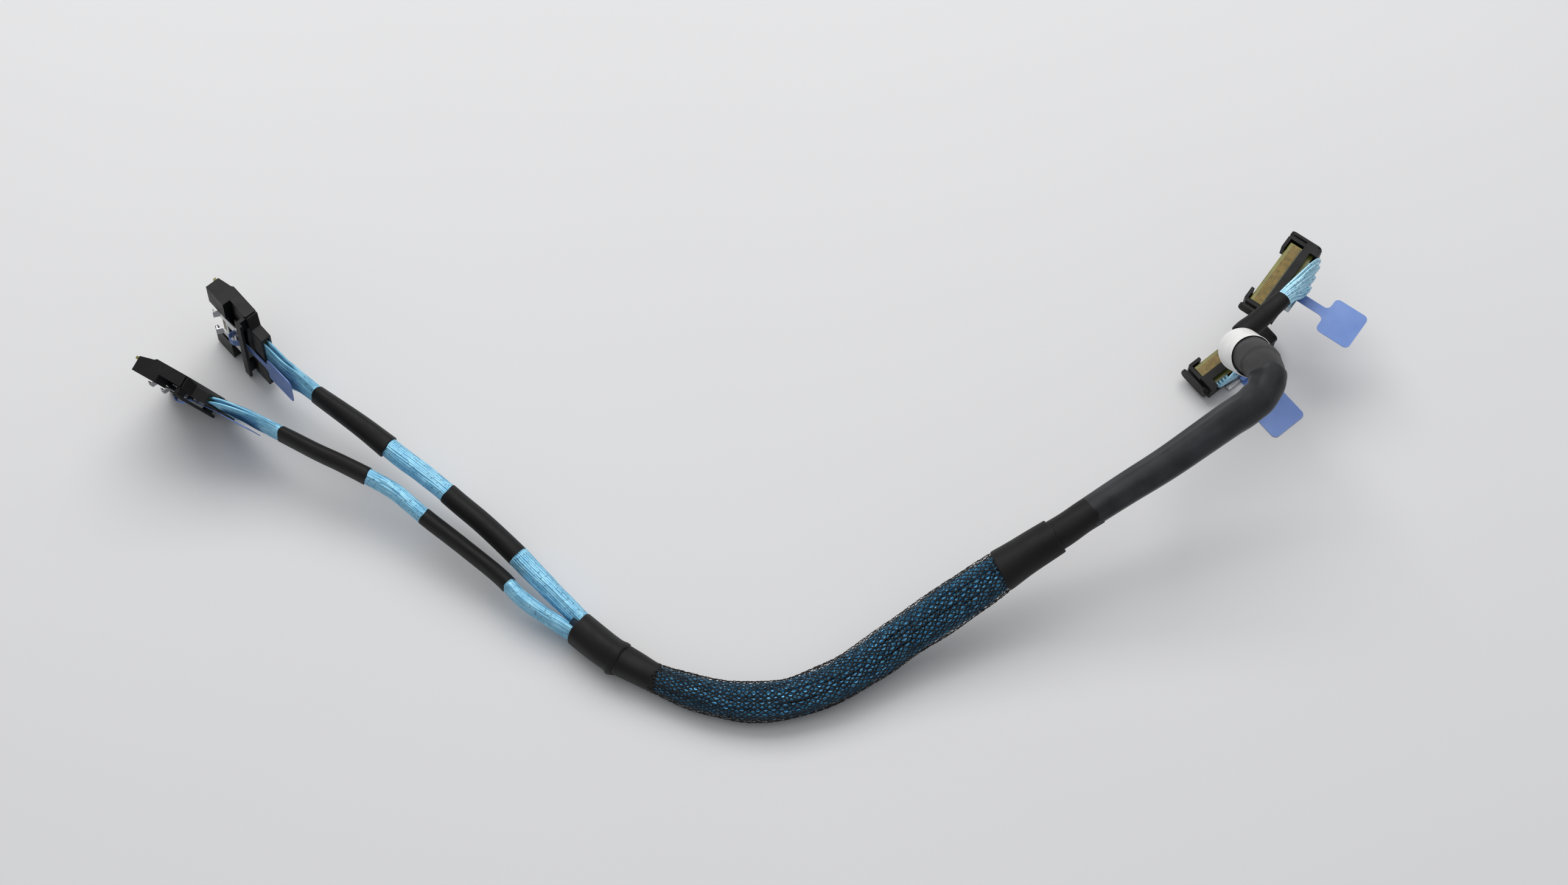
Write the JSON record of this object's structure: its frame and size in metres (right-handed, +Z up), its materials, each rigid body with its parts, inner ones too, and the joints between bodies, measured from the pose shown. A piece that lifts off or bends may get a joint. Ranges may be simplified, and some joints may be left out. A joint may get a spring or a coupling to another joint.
{
  "type": "mcio to slimsas cable",
  "caption": "Internal server data cable: slim upright plugs on forked ribbon legs, a braided trunk, and right-angle card plugs, each with a blue pull tab.",
  "frame": {"origin": "middle of the laid-out cable's plan, on the surface that it lies on", "axes": "+X towards the card plugs, +Y away from the braided bend, +Z up"},
  "size_m": [0.3632, 0.1442, 0.0563],
  "materials": {
    "black_plastic": "moulded black plastic, fine matt grain",
    "latch_steel": "thin bright spring steel",
    "card_green": "olive circuit board with brown-gold contact pads",
    "blue_film": "periwinkle blue plastic film, satin",
    "blue_wire": "metallic light blue ribbon wire, satin",
    "heat_shrink": "black heat-shrink sleeve, soft sheen",
    "braid": "black braided monofilament, open diamond weave",
    "cloth_tape": "dark grey cloth tape, creased",
    "paper_label": "white wrap label, left blank"
  },
  "bodies": {
    "root": {"slim_plug_1_housing": "black_plastic", "slim_plug_1_rear_cover": "black_plastic", "slim_plug_1_paddle_card": "card_green", "slim_plug_1_latch_spring": "latch_steel", "slim_plug_1_pull_tab": "blue_film", "edge_plug_1_housing": "black_plastic", "edge_plug_1_paddle_card": "card_green", "edge_plug_1_latch_spring": "latch_steel", "edge_plug_1_pull_tab": "blue_film", "slim_plug_2_housing": "black_plastic", "slim_plug_2_rear_cover": "black_plastic", "slim_plug_2_paddle_card": "card_green", "slim_plug_2_latch_spring": "latch_steel", "slim_plug_2_pull_tab": "blue_film", "edge_plug_2_housing": "black_plastic", "edge_plug_2_paddle_card": "card_green", "edge_plug_2_latch_spring": "latch_steel", "edge_plug_2_pull_tab": "blue_film", "leg_a_wires_plug": "blue_wire", "leg_a_wires_middle": "blue_wire", "leg_a_wires_split": "blue_wire", "leg_a_sleeve_front": "heat_shrink", "leg_a_sleeve_rear": "heat_shrink", "leg_b_wires_plug": "blue_wire", "leg_b_wires_middle": "blue_wire", "leg_b_wires_split": "blue_wire", "leg_b_sleeve_front": "heat_shrink", "leg_b_sleeve_rear": "heat_shrink", "split_sleeve_outer": "heat_shrink", "split_sleeve_inner": "heat_shrink", "shrink_band": "heat_shrink", "inner_shrink_tube": "heat_shrink", "main_tube": "heat_shrink", "branch_tube_up": "heat_shrink", "branch_tube_down": "heat_shrink", "braided_sleeve": "braid", "trunk_wires": "blue_wire", "cloth_tape": "cloth_tape", "wrap_label": "paper_label", "ribbon_up_1": "blue_wire", "ribbon_up_2": "blue_wire", "ribbon_up_3": "blue_wire", "ribbon_down_1": "blue_wire", "ribbon_down_2": "blue_wire"}
  },
  "joints": []
}
